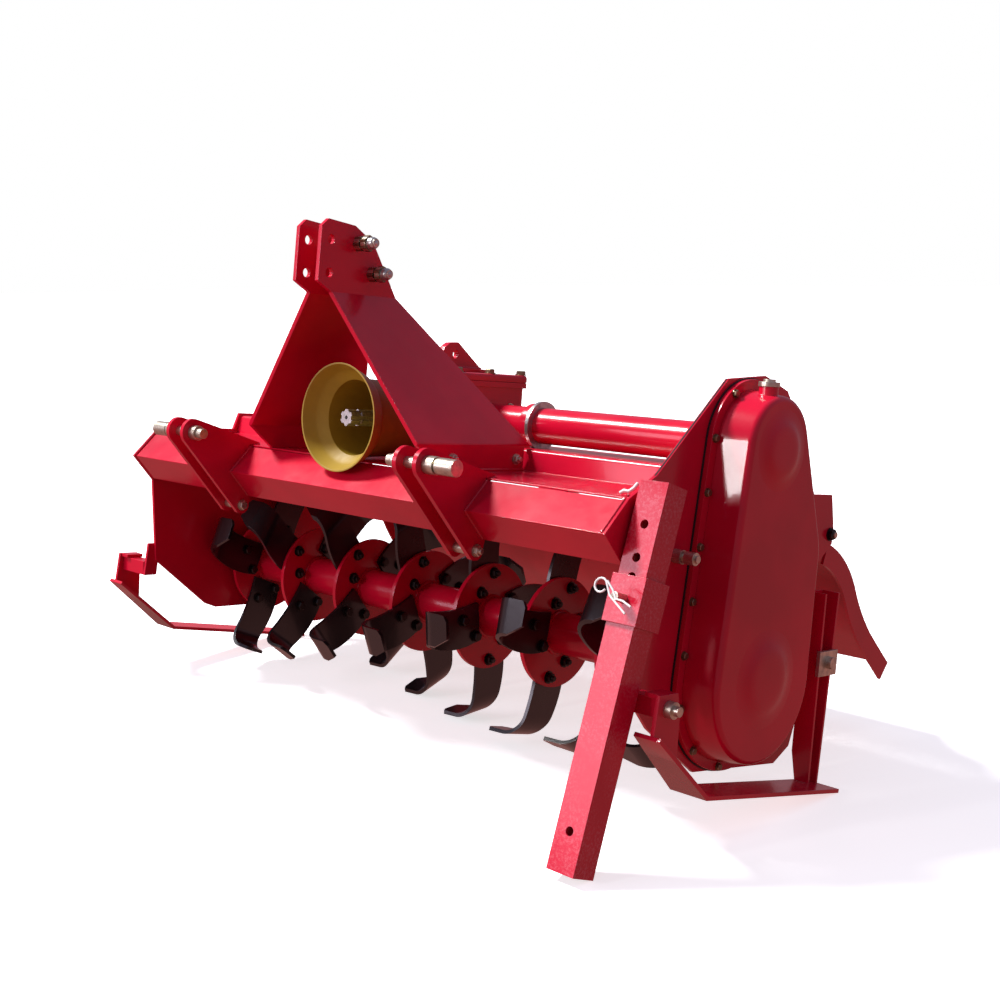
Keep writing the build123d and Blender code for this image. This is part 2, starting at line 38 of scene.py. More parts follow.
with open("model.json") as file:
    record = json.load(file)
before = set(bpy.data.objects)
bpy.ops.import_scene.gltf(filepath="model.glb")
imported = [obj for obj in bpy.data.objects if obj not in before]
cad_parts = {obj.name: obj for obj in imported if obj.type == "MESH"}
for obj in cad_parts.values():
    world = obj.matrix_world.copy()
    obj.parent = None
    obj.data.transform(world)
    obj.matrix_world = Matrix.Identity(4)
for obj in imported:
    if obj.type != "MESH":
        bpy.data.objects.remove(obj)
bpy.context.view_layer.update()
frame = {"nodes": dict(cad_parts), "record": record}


# ---------------------------------------------------------------- settings
class PaintSettings(bpy.types.PropertyGroup):
    """Colours and wear of the tiller's finishes."""

    crimson: FloatVectorProperty(
        name="Crimson", description="Main paint", subtype="COLOR", size=3,
        default=(0.66, 0.004, 0.032), min=0, max=1,
    )
    guard_yellow: FloatVectorProperty(
        name="Guard yellow", description="Paint of the drive-shaft guard", subtype="COLOR", size=3,
        default=(0.36, 0.23, 0.016), min=0, max=1,
    )
    blade_black: FloatVectorProperty(
        name="Blade black", description="Enamel of the blades", subtype="COLOR", size=3,
        default=(0.008, 0.008, 0.009), min=0, max=1,
    )
    zinc: FloatVectorProperty(
        name="Zinc", description="Plating of pins, bolts and nuts", subtype="COLOR", size=3,
        default=(0.66, 0.6, 0.48), min=0, max=1,
    )
    wear: FloatProperty(
        name="Wear", description="Dust and scuffs on the paint", subtype="FACTOR", default=0.5, min=0, max=1
    )


class EdgeSettings(bpy.types.PropertyGroup):
    """Rounding of the plate and casting edges."""

    plate_edge: FloatProperty(
        name="Plate edge", description="Rounding of cut plate", unit="LENGTH",
        default=0.0012, min=0, max=0.01,
    )
    cast_edge: FloatProperty(
        name="Cast edge", description="Rounding of castings", unit="LENGTH",
        default=0.003, min=0, max=0.01,
    )
    pin_edge: FloatProperty(
        name="Pin edge", description="Rounding of pins, bolts and rods", unit="LENGTH",
        default=0.0008, min=0, max=0.01,
    )
    guard_edge: FloatProperty(
        name="Guard edge", description="Rounding of the drive-shaft guard's rims", unit="LENGTH",
        default=0.0005, min=0, max=0.01,
    )


class StudioSettings(bpy.types.PropertyGroup):
    """Camera and lights."""

    lens: FloatProperty(
        name="Lens", description="Focal length in millimetres", default=51.094, min=10, max=300
    )
    key: FloatProperty(
        name="Key", description="Strength of the broad light from the front left", default=5.2, min=0, max=20
    )
    fill: FloatProperty(
        name="Fill", description="Brightness of the surrounding light", default=1.0, min=0, max=4
    )
    sheen_power: FloatProperty(
        name="Sheen", description="Power of the wide front panel in watts", default=140, min=0, max=2000
    )


# ---------------------------------------------------------------- materials
class Socket:
    """A number in a material. Arithmetic on it adds Math nodes."""

    def __init__(self, finish, socket):
        self.finish = finish
        self.socket = socket

    def maths(self, operation, *values, clamp=False):
        settings = {"operation": operation, "use_clamp": clamp}
        node = self.finish.add("ShaderNodeMath", settings, dict(enumerate(values)))
        return Socket(self.finish, node.outputs[0])

    def __add__(self, other):
        return self.maths("ADD", self, other)

    def __radd__(self, other):
        return self.maths("ADD", other, self)

    def __sub__(self, other):
        return self.maths("SUBTRACT", self, other)

    def __rsub__(self, other):
        return self.maths("SUBTRACT", other, self)

    def __mul__(self, other):
        return self.maths("MULTIPLY", self, other)

    def __rmul__(self, other):
        return self.maths("MULTIPLY", other, self)

    def over(self, low, high):
        """0 below low and 1 above high."""
        return self.maths("MULTIPLY", self - low, 1 / (high - low), clamp=True)


class Finish:
    """A material under construction."""

    def __init__(self, name):
        self.material = bpy.data.materials.new(name)
        self.material.use_nodes = True
        self.tree = self.material.node_tree
        self.shader = self.tree.nodes["Principled BSDF"]
        self.place = self.add("ShaderNodeTexCoord", {}, {}).outputs["Object"]

    def add(self, kind, settings, sockets):
        """A node with its settings, then its sockets' values or links."""
        node = self.tree.nodes.new(kind)
        for key, value in settings.items():
            setattr(node, key, value)
        for key, value in sockets.items():
            if isinstance(value, Socket):
                value = value.socket
            if isinstance(value, bpy.types.NodeSocket):
                self.tree.links.new(value, node.inputs[key])
            else:
                node.inputs[key].default_value = value
        return node

    def noise(self, scale, detail=3.0, rough=0.55, stretch=None):
        """Noise on Object coordinates. Its scale is in cells to the metre."""
        place = self.place
        if stretch:
            place = self.add("ShaderNodeMapping", {}, {"Vector": place, "Scale": stretch}).outputs[0]
        sockets = {"Vector": place, "Scale": scale, "Detail": detail, "Roughness": rough}
        return Socket(self, self.add("ShaderNodeTexNoise", {}, sockets).outputs[0])

    def facing_up(self):
        normal = self.add("ShaderNodeNewGeometry", {}, {}).outputs["Normal"]
        return Socket(self, self.add("ShaderNodeSeparateXYZ", {}, {"Vector": normal}).outputs["Z"])

    def mix(self, factor, a, b):
        node = self.add("ShaderNodeMix", {"data_type": "RGBA"}, {"Factor": factor})
        for slot, value in ((6, a), (7, b)):
            if isinstance(value, bpy.types.NodeSocket):
                self.tree.links.new(value, node.inputs[slot])
            else:
                node.inputs[slot].default_value = (*value, 1)
        return node.outputs[2]

    def bump(self, height, strength, distance):
        sockets = {"Height": height, "Strength": strength, "Distance": distance}
        self.set("Normal", self.add("ShaderNodeBump", {}, sockets).outputs[0])

    def set(self, name, value):
        if isinstance(value, Socket):
            value = value.socket
        if isinstance(value, bpy.types.NodeSocket):
            self.tree.links.new(value, self.shader.inputs[name])
        elif isinstance(value, tuple) and len(value) == 3:
            self.shader.inputs[name].default_value = (*value, 1)
        else:
            self.shader.inputs[name].default_value = value


def crimson_paint(settings, name="crimson_paint", chalk=0.0):
    """Glossy sprayed enamel with mottling, orange peel, dust on what faces up, scuffs and chalky specks."""
    f = Finish(name)
    base = tuple(settings.crimson)
    darker = tuple(c * 0.72 for c in base)
    mottle = f.noise(3.1, 4).over(0.35, 0.7)
    colour = f.mix(mottle, darker, base)
    dust = (f.facing_up().over(0.4, 1.0) * f.noise(14, 5).over(0.45, 0.75)) * (0.16 * settings.wear)
    colour = f.mix(dust, colour, (0.42, 0.22, 0.18))
    scuffs = f.noise(46, 6, 0.7, (1, 1, 3)).over(0.66, 0.74) * f.noise(5, 2).over(0.5, 0.7)
    scuffs = scuffs * (0.5 * settings.wear)
    colour = f.mix(scuffs, colour, (0.2, 0.02, 0.02))
    if chalk:
        specks = f.noise(190, 5, 0.8).over(0.48, 0.62) * f.noise(7, 3).over(0.35, 0.65) * chalk
        colour = f.mix(specks, colour, (0.8, 0.46, 0.52))
    f.set("Base Color", colour)
    f.set("Roughness", 0.17 + f.noise(22, 4) * 0.08 + dust * 0.8 + scuffs * 0.3)
    f.set("Coat Weight", 0.15)
    f.set("Coat Roughness", 0.06)
    f.set("IOR", 1.4)
    f.bump(f.noise(140, 2), 0.08, 0.0006)
    return f.material


def guard_paint(settings, name="guard_yellow_paint", tint=None):
    """The guard's duller paint, or a plastic or rubber given by tint, with a little grime."""
    f = Finish(name)
    base = tint or tuple(settings.guard_yellow)
    grime = f.noise(18, 5).over(0.5, 0.8) * (0.7 * settings.wear)
    f.set("Base Color", f.mix(grime, base, tuple(c * 0.55 for c in base)))
    f.set("Roughness", 0.42 + f.noise(30, 3) * 0.15)
    f.bump(f.noise(60, 3), 0.12, 0.0008)
    return f.material


def blade_enamel(settings):
    """Glossy black dip enamel with a slightly uneven forged skin."""
    f = Finish("black_blade_enamel")
    base = tuple(settings.blade_black)
    bare = f.noise(30, 6, 0.7).over(0.68, 0.78) * (0.35 * settings.wear)
    f.set("Base Color", f.mix(bare, base, (0.08, 0.07, 0.065)))
    f.set("Roughness", 0.2 + f.noise(12, 4) * 0.2)
    f.set("Coat Weight", 0.4)
    f.set("Coat Roughness", 0.1)
    f.bump(f.noise(26, 5), 0.3, 0.002)
    return f.material


def zinc_plate(settings, name="zinc_plate", tint=None):
    """Pale to straw-coloured zinc plate, or another metal given by tint, streaky and worn."""
    f = Finish(name)
    base = tint or tuple(settings.zinc)
    stain = f.noise(70, 5, 0.65).over(0.4, 0.75)
    f.set("Base Color", f.mix(stain, base, tuple(c * 0.5 for c in base)))
    f.set("Metallic", 0.9)
    f.set("Roughness", 0.28 + stain * 0.25)
    f.bump(f.noise(220, 3), 0.15, 0.0004)
    return f.material


def floor_finish():
    """Pale seamless paper."""
    f = Finish("pale_floor")
    f.set("Base Color", f.mix(f.noise(1.2, 2), (0.86, 0.86, 0.87), (0.9, 0.9, 0.9)))
    f.set("Roughness", 0.9)
    f.set("Emission Color", (1.0, 1.0, 1.0))
    f.set("Emission Strength", 0.66)
    return f.material


finishes = {}


# ---------------------------------------------------------------- the level machine's frame
JOINTS = {joint["name"]: joint for joint in frame["record"]["behaviour"]["joints"]}
# How the machine stands parked: its turn about x, and its rotor's middle in metres.
PARK = math.asin(JOINTS["input_spin"]["axis"][2])
SHIFT = Vector(JOINTS["rotor_spin"]["pos_m"])
SIDES = (-1, 1)


def way(x, y, z):
    """A direction of the level machine, as it stands parked."""
    return Matrix.Rotation(-PARK, 3, "X") @ Vector((x, y, z))


def at(x, y, z):
    """A point of the level machine, in millimetres from the rotor's middle, as it stands parked."""
    return way(x, y, z) / 1000 + SHIFT


# ---------------------------------------------------------------- geometry helpers
MERGE = 1e-6
FLAT = math.radians(0.6)
CORNER = math.radians(38)
WELD_RIPPLE = 0.0045
WELD_SIDES = 7


def body_of_node(node):
    """The moving body that a CAD node belongs to."""
    for body, names in frame["record"]["behaviour"]["bodies"].items():
        if node in names:
            return body
    raise ValueError(node)


def finish_mesh(bm, name, material, sharp=32.0):
    """Writes a bmesh to a new object with smooth faces and hard edges where it turns sharply."""
    mesh = bpy.data.meshes.new(name)
    bm.to_mesh(mesh)
    bm.free()
    mesh.shade_smooth()
    mesh.set_sharp_from_angle(angle=math.radians(sharp))
    mesh.materials.append(material)
    obj = bpy.data.objects.new(name, mesh)
    flats = obj.modifiers.new("flat faces", "WEIGHTED_NORMAL")
    flats.weight = 100
    flats.keep_sharp = True
    bpy.context.scene.collection.objects.link(obj)
    return obj


def dress(node, finish, edge):
    """A copy of a CAD node with its loose faces joined, flats cleaned and sharp edges rounded."""
    bm = bmesh.new()
    bm.from_mesh(frame["nodes"][node].data)
    bmesh.ops.remove_doubles(bm, verts=bm.verts, dist=MERGE)
    bmesh.ops.dissolve_limit(bm, angle_limit=FLAT, verts=bm.verts, edges=bm.edges)
    corners = [e for e in bm.edges if len(e.link_faces) == 2 and e.calc_face_angle() > CORNER]
    if edge > 0:
        bmesh.ops.bevel(
            bm, geom=corners, offset=edge, offset_type="OFFSET", affect="EDGES", segments=2, profile=0.5,
            material=-1, clamp_overlap=True,
        )
    obj = finish_mesh(bm, node + ".skin", finishes[finish])
    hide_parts(node)
    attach(obj, body_of_node(node))
    return obj


def plug(bm, start, axis, radius, depth, sides=20, tip=None, twist=0.0):
    """A cylinder or cone that begins at start and runs along axis. Millimetres."""
    turn = Vector((0, 0, 1)).rotation_difference(axis).to_matrix().to_4x4()
    turn = turn @ Matrix.Rotation(twist, 4, "Z")
    place = Matrix.Translation(start + axis.normalized() * depth / 2000) @ turn
    end = radius if tip is None else tip
    bmesh.ops.create_cone(
        bm, cap_ends=True, segments=sides, radius1=radius / 1000, radius2=end / 1000,
        depth=depth / 1000, matrix=place,
    )


def bolt_head(bm, start, axis, size, washer=True, stud=0.0, twist=0.3):
    """A washer, a six-sided head with a chamfered top, and the stud's end. Size is the thread in mm."""
    axis = axis.normalized()
    height = 0.0
    if washer:
        plug(bm, start, axis, 1.05 * size, 0.2 * size, 24)
        height = 0.2 * size
    head = start + axis * height / 1000
    plug(bm, head, axis, 0.88 * size, 0.5 * size, 6, twist=twist)
    plug(bm, head + axis * 0.5 * size / 1000, axis, 0.88 * size, 0.14 * size, 6, 0.74 * size, twist)
    if stud:
        plug(bm, head + axis * 0.6 * size / 1000, axis, 0.46 * size, stud, 16)
        tip = head + axis * (0.6 * size + stud) / 1000
        plug(bm, tip, axis, 0.46 * size, 0.1 * size, 16, 0.36 * size)


def swell(bm, start, axis, profile, steps=64):
    """Turns a profile of (radius, height) about axis. Millimetres."""
    turn = Vector((0, 0, 1)).rotation_difference(axis).to_matrix()
    out = turn @ Vector((1, 0, 0))
    verts = [bm.verts.new(start + (out * radius + axis * height) / 1000) for radius, height in profile]
    edges = [bm.edges.new(pair) for pair in zip(verts, verts[1:])]
    bmesh.ops.spin(
        bm, geom=verts + edges, cent=start, axis=axis, angle=math.tau, steps=steps,
        use_merge=True, use_duplicate=False,
    )
    bmesh.ops.remove_doubles(bm, verts=bm.verts, dist=MERGE)


def tube(bm, points, radii, sides=8):
    """A round bar: one ring, extruded from point to point. Points in metres, radii in millimetres."""
    last = len(points) - 1
    ahead = [(points[min(i + 1, last)] - points[max(i - 1, 0)]).normalized() for i in range(last + 1)]
    turn = Vector((0, 0, 1)).rotation_difference(ahead[0])
    place = Matrix.Translation(points[0]) @ turn.to_matrix().to_4x4()
    radius = radii[0]
    ring = bmesh.ops.create_circle(
        bm, cap_ends=True, segments=sides, radius=radius / 1000, matrix=place
    )["verts"]
    edges = list({e for v in ring for e in v.link_edges})
    for i in range(1, len(points)):
        made = bmesh.ops.extrude_edge_only(bm, edges=edges)["geom"]
        verts = [g for g in made if isinstance(g, bmesh.types.BMVert)]
        edges = [g for g in made if isinstance(g, bmesh.types.BMEdge)]
        turn = ahead[i - 1].rotation_difference(ahead[i]) @ turn
        scale = Matrix.Scale(radii[i % len(radii)] / radius, 4)
        step = Matrix.Translation(points[i]) @ turn.to_matrix().to_4x4()
        bmesh.ops.transform(bm, matrix=step @ scale @ place.inverted(), verts=verts)
        place, radius = step, radii[i % len(radii)]
    bmesh.ops.contextual_create(bm, geom=edges)


def bead(bm, x, places, size=3.0):
    """A rippled weld bead at x of the level machine, through places given by y and z."""
    corners = [at(x, y, z) for y, z in places]
    path = []
    for a, b in zip(corners, corners[1:]):
        steps = max(2, round((b - a).length / WELD_RIPPLE))
        path += [a.lerp(b, k / steps) for k in range(steps)]
    path.append(corners[-1])
    tube(bm, path, [size, size * 1.22], WELD_SIDES)


def ring_bead(bm, x, y, z, radius, size=3.0, steps=72):
    """A weld bead round a shaft."""
    turns = [math.tau * k / steps for k in range(steps + 1)]
    path = [at(x, y + radius * math.cos(a), z + radius * math.sin(a)) for a in turns]
    tube(bm, path, [size, size * 1.2], WELD_SIDES)


def hardware(bm, name, finish, body):
    """Writes small parts to an object that goes with a body."""
    bmesh.ops.recalc_face_normals(bm, faces=bm.faces)
    obj = finish_mesh(bm, name, finishes[finish], 40)
    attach(obj, body)
    return obj


# ---------------------------------------------------------------- CAD nodes by finish
PAINTED = [
    "front_beam", "hood", "side_plate_left", "side_plate_right", "drive_tube", "mast_plate_left",
    "mast_plate_right", "hitch_plates_inner_left", "hitch_plates_inner_right", "hitch_plates_outer_left",
    "hitch_plates_outer_right", "lifting_plate", "stay_bracket", "tailgate", "skid_left", "skid_right",
    "skid_strut_left", "skid_strut_right", "skid_arms_left", "skid_arms_right", "rotor_shaft", "case_flange",
    "stay_trunnion",
]
CAST = ["gearbox_housing", "gearbox_cover", "case_cover", "rotor_bearing"]
PLATED = [
    "hitch_pin_left", "hitch_pin_right", "leg_pin", "case_screw", "stay_rod", "stay_pin",
    "tailgate_hinge_rod", "hitch_spacers", "skid_bolts_left", "skid_bolts_right", "filler_cap", "input_shaft",
    "mast_bolts",
]


# ---------------------------------------------------------------- places of the small parts
# Millimetres on the level machine, from the rotor's middle: x across to the gear case, y back, z up.
# Pairs are y and z. A bolt's size is its thread.
FLANGES = 8
FLANGE_PITCH = 195.4
FLANGE_TURN = 16  # degrees from one flange's blades to the next one's
FIRST_BLADE = -18
BLADE_BOLTS = [(-12, -97), (31, -60)]  # on a blade that points down
BLADE_BOLT, BLADE_STUD = 13, 6
BLADE_FACE, FLANGE_BACK = 13, 5  # from the flange's middle to the faces that the bolt clamps
ROTOR_WELD_RADIUS, ROTOR_WELD_OFFSET, ROTOR_WELD = 45.5, 6.5, 3.4

CASE_FLANGE_FACE, RIM_BOLT = 732, 8
RIM_BOLTS = [
    (155, 0), (155, 99), (155, 198), (139, 295), (104, 388), (69, 480), (-2, 544), (-97, 530), (-147, 448),
    (-157, 350), (-166, 251), (-175, 152), (-185, 54), (-183, -44), (-132, -128), (-44, -170), (53, -157),
    (127, -94),
]
CASE_ENDS = [(-35, 436, 104), (-4, 225, 150), (-17, 0, 163)]  # y, z, radius of the case's three circles
GASKET_START, GASKET_DEPTH, GASKET_MARGIN = 720.2, 2.6, 20.5
CASE_BOSSES = [(798, -33, 432, 48), (798, -18, 8, 60)]  # x, y, z, width over the two shafts
BOSS_PROFILE = [  # radius in widths, height
    (0, 8.2), (0.5, 8.2), (0.7, 8), (0.86, 7.4), (0.98, 6), (1.1, 4), (1.22, 2.2), (1.37, 0.9), (1.54, 0.1),
    (1.66, -0.4),
]

LID_TOP, LID_BOLT = 537, 12
LID_BOLT_COLUMNS, LID_BOLT_ROWS = (-58, 78), (-138, -36, 66)
FOOT_TOP, FOOT_BOLT = 395, 11
FOOT_BOLT_COLUMNS, FOOT_BOLT_ROWS = (-78, 98), (-150, 78)
GEARBOX_SIDE, SIDE_COVER_BOLT = 88, 9
SIDE_COVER_BOLTS = [(26, 465), (-98, 465), (26, 410)]
BEARING_FACE, BEARING_BOLT = -734, 12
BEARING_BOLT_ANGLES, BEARING_BOLT_CIRCLE = (45, 135, 225, 315), 65

MAST_SIDE, MAST_FOOT_BOLT = 263, 11
MAST_FOOT_BOLTS = [(-142, 366), (-330, 366)]
MAST_BOLTS = [(-370, 724), (-413, 782)]
MAST_NUTS = [(39.6, 17, 0.1), (59.8, 14.5, 0.6), (-56.2, 16, 0.3)]  # x, depth, turn
MAST_NUT_RADIUS = 16.8
MAST_BOLT_END = 74
BOLT_END_PROFILE = [(0, 19), (4, 18.6), (8, 17), (11, 13.8), (12.4, 10), (12.4, -1)]  # radius, height
HITCH_OUTER_FACE, HITCH_INNER_FACE, HITCH_BOLT = 392, 330, 12
HITCH_BOLT_PLACE = (-383, 204)
SIDE_PLATE_FACE = 720
HINGE_ROD_PLACE, HINGE_NUT = (303, 258), 13
PLATE_BOLT_PLACE, PLATE_BOLT = (100, -60), 9
STUD = 5

DRIVE_TUBE = (-33, 434)
SEAL_START, SEAL_RADIUS, SEAL_DEPTH = 230, 51.5, 8
# The black strip below is painted shade. It stands for the dark shaded line along the right side plate's top
# edge.
SHADE_STRIP_PLACE = 716
SHADE_STRIP_CORNERS = [(-294, 378), (-102, 554), (20, 564), (98, 539)]  # along the side plate's top edge
SHADE_STRIP_STEPS = 8
SHADE_STRIP_RADIUS = 2.4
LEG_PIN = (754.8, -400.8, 173.8)
LEG_LEAN = math.atan2(*JOINTS["leg_slide"]["axis"][1:]) - PARK
CLIP_AHEAD = 55  # from the pin's middle to the clip, which lies in front of the leg
CLIP_WIRE, CLIP_LOOP, CLIP_LOOP_AWAY = 1.9, 12, (-16, -12)
CLIP_LEGS = [[(6, 2), (44, 27)], [(-5, -21), (10, -8), (20, 6), (34, 7), (52, 14)]]  # across, down the leg
HOOK_WIRE = 3.2
HOOK = [(680, -341, 346), (687, -340, 351), (695, -338, 350), (702, -334, 356), (708, -330, 366)]

FINE_WELD, HEAVY_WELD = 2.6, 3.2
MAST_WELD, MAST_SEAM = 264.5, [(-364, 344), (-120, 344)]
HITCH_WELDS = (328.5, 341.5, 380.5, 393.5)
HITCH_SEAM = [(-369, 227), (-423, 281), (-369, 336), (-344, 344)]  # round the beam's front
PLATE_WELD = 711
BEAM_SEAM, HOOD_SEAM = [(-424, 283), (-369, 338)], [(-364, 344), (-115, 344)]
TUBE_WELD, TUBE_WELD_RADIUS = 704, 45
LUG_WELDS, LUG_SEAM = (19, 1), [(-136, 546), (-4, 546)]


# ---------------------------------------------------------------- operators
class TILLER_OT_finishes(bpy.types.Operator):
    """Makes the paints and platings"""

    bl_idname = "tiller.finishes"
    bl_label = "Finishes"

    def execute(self, context):
        paint = context.scene.tiller_paint
        finishes["crimson"] = crimson_paint(paint)
        finishes["chalky"] = crimson_paint(paint, "chalked_crimson_paint", 0.2)
        finishes["yellow"] = guard_paint(paint)
        finishes["black"] = blade_enamel(paint)
        finishes["zinc"] = zinc_plate(paint)
        finishes["bright"] = zinc_plate(paint, "machined_steel", (0.6, 0.59, 0.57))
        finishes["dark"] = zinc_plate(paint, "black_oxide_steel", (0.05, 0.048, 0.046))
        finishes["dull"] = zinc_plate(paint, "dull_plate", (0.3, 0.23, 0.14))
        finishes["pale"] = guard_paint(paint, "white_wire", (0.8, 0.8, 0.78))
        # A matt black finish: the gasket's rubber, and also the painted shade of the side plate's edge strip.
        finishes["rubber"] = guard_paint(paint, "black_rubber_and_painted_shade", (0.012, 0.012, 0.013))
        return {"FINISHED"}


class TILLER_OT_weldment(bpy.types.Operator):
    """Paints and rounds the frame, hood, plates and rotor"""

    bl_idname = "tiller.weldment"
    bl_label = "Painted steelwork"

    def execute(self, context):
        edges = context.scene.tiller_edges
        for node in PAINTED:
            dress(node, "crimson", edges.plate_edge)
        for node in ("leg_sleeve", "parking_leg"):
            dress(node, "chalky", edges.plate_edge)
        for node in CAST:
            dress(node, "crimson", edges.cast_edge)
        return {"FINISHED"}


class TILLER_OT_blades(bpy.types.Operator):
    """Enamels the blades and the guard"""

    bl_idname = "tiller.blades"
    bl_label = "Blades and guard"

    def execute(self, context):
        edges = context.scene.tiller_edges
        dress("tines_left", "black", edges.plate_edge)
        dress("tines_right", "black", edges.plate_edge)
        dress("input_guard", "yellow", edges.guard_edge)
        return {"FINISHED"}


class TILLER_OT_plated(bpy.types.Operator):
    """Plates the pins, bolts and rods"""

    bl_idname = "tiller.plated"
    bl_label = "Plated hardware"

    def execute(self, context):
        edges = context.scene.tiller_edges
        for node in PLATED:
            dress(node, "bright" if node == "input_shaft" else "zinc", edges.pin_edge)
        return {"FINISHED"}


class TILLER_OT_blade_bolts(bpy.types.Operator):
    """Bolts the blades to the rotor's flanges and welds the flanges"""

    bl_idname = "tiller.blade_bolts"
    bl_label = "Blade bolts"

    def execute(self, context):
        heads, welds = bmesh.new(), bmesh.new()
        for i in range(FLANGES):
            middle = (i - (FLANGES - 1) / 2) * FLANGE_PITCH
            for side in SIDES:
                outermost, innermost = (FLANGES - 1, 0) if side > 0 else (0, FLANGES - 1)
                ring_bead(welds, middle + side * ROTOR_WELD_OFFSET, 0, 0, ROTOR_WELD_RADIUS, ROTOR_WELD)
                if i == outermost:
                    continue
                for more in range(0, 360, 90 if i == innermost else 180):
                    turn = math.radians(FIRST_BLADE - FLANGE_TURN * i + (0 if side > 0 else 90) + more)
                    for y, z in BLADE_BOLTS:
                        back = y * math.cos(turn) - z * math.sin(turn)
                        up = y * math.sin(turn) + z * math.cos(turn)
                        head = at(middle + side * BLADE_FACE, back, up)
                        nut = at(middle - side * FLANGE_BACK, back, up)
                        bolt_head(heads, head, way(side, 0, 0), BLADE_BOLT, twist=turn + y)
                        bolt_head(heads, nut, way(-side, 0, 0), BLADE_BOLT, stud=BLADE_STUD, twist=y - turn)
        hardware(heads, "blade_bolts", "dark", "rotor")
        hardware(welds, "flange_welds", "crimson", "rotor")
        return {"FINISHED"}


class TILLER_OT_case_bolts(bpy.types.Operator):
    """Bolts the gear case, gearbox, bearing, mast, hitch plates and side plates"""

    bl_idname = "tiller.case_bolts"
    bl_label = "Frame bolts"

    def execute(self, context):
        dull, plated, dark = bmesh.new(), bmesh.new(), bmesh.new()
        for y, z in RIM_BOLTS:
            bolt_head(dull, at(CASE_FLANGE_FACE, y, z), way(1, 0, 0), RIM_BOLT, twist=y)
        for x in LID_BOLT_COLUMNS:
            for y in LID_BOLT_ROWS:
                bolt_head(dull, at(x, y, LID_TOP), way(0, 0, 1), LID_BOLT, twist=y)
        for x in FOOT_BOLT_COLUMNS:
            for y in FOOT_BOLT_ROWS:
                bolt_head(plated, at(x, y, FOOT_TOP), way(0, 0, 1), FOOT_BOLT, stud=STUD, twist=y)
        for y, z in SIDE_COVER_BOLTS:
            bolt_head(plated, at(GEARBOX_SIDE, y, z), way(1, 0, 0), SIDE_COVER_BOLT, twist=y)
        for angle in BEARING_BOLT_ANGLES:
            y = BEARING_BOLT_CIRCLE * math.cos(math.radians(angle))
            z = BEARING_BOLT_CIRCLE * math.sin(math.radians(angle))
            bolt_head(plated, at(BEARING_FACE, y, z), way(-1, 0, 0), BEARING_BOLT, twist=angle)
        for side in SIDES:
            out, inward = way(side, 0, 0), way(-side, 0, 0)
            for y, z in MAST_FOOT_BOLTS:
                bolt_head(plated, at(side * MAST_SIDE, y, z), out, MAST_FOOT_BOLT, stud=STUD, twist=y)
            bolt_head(plated, at(side * HITCH_OUTER_FACE, *HITCH_BOLT_PLACE), out, HITCH_BOLT, stud=STUD)
            bolt_head(plated, at(side * HITCH_INNER_FACE, *HITCH_BOLT_PLACE), inward, HITCH_BOLT)
            bolt_head(dark, at(side * SIDE_PLATE_FACE, *HINGE_ROD_PLACE), out, HINGE_NUT, twist=0.2)
            bolt_head(dark, at(side * SIDE_PLATE_FACE, *PLATE_BOLT_PLACE), out, PLATE_BOLT)
        for y, z in MAST_BOLTS:
            for x, depth, turn in MAST_NUTS:
                plug(dull, at(x, y, z), way(1, 0, 0), MAST_NUT_RADIUS, depth, 6, twist=turn)
        hardware(dull, "case_rim_bolts", "dull", "frame")
        hardware(plated, "plated_bolts", "zinc", "frame")
        hardware(dark, "dark_nuts", "dark", "frame")
        return {"FINISHED"}


class TILLER_OT_domes(bpy.types.Operator):
    """Softens the case cover's two bosses and rounds the mast bolts' ends"""

    bl_idname = "tiller.domes"
    bl_label = "Domed ends"

    def execute(self, context):
        cover = bmesh.new()
        for x, y, z, width in CASE_BOSSES:
            profile = [(radius * width, height) for radius, height in BOSS_PROFILE]
            swell(cover, at(x, y, z), way(1, 0, 0), profile)
        hardware(cover, "case_swells", "crimson", "frame")
        ends = bmesh.new()
        for y, z in MAST_BOLTS:
            swell(ends, at(MAST_BOLT_END, y, z), way(1, 0, 0), BOLT_END_PROFILE)
        hardware(ends, "mast_bolt_ends", "bright", "frame")
        return {"FINISHED"}


def add_seal_clamp():
    """The bright ring round the drive tube."""
    ring = bmesh.new()
    plug(ring, at(SEAL_START, *DRIVE_TUBE), way(1, 0, 0), SEAL_RADIUS, SEAL_DEPTH, 64)
    hardware(ring, "seal_clamp", "bright", "frame")


def add_edge_shade_strip():
    """A black strip along the right side plate's top edge and its sloping front. It is painted shade for the
    dark line along that edge.
    """
    path = []
    for a, b in zip(SHADE_STRIP_CORNERS, SHADE_STRIP_CORNERS[1:]):
        for k in range(SHADE_STRIP_STEPS):
            path.append((a[0] + (b[0] - a[0]) * k / SHADE_STRIP_STEPS, a[1] + (b[1] - a[1]) * k / SHADE_STRIP_STEPS))
    path.append(SHADE_STRIP_CORNERS[-1])
    # trim holds the black strip of painted shade along the plate's edge.
    trim = bmesh.new()
    tube(trim, [at(SHADE_STRIP_PLACE, y, z) for y, z in path], [SHADE_STRIP_RADIUS], 8)
    hardware(trim, "edge_shade_strip", "rubber", "frame")


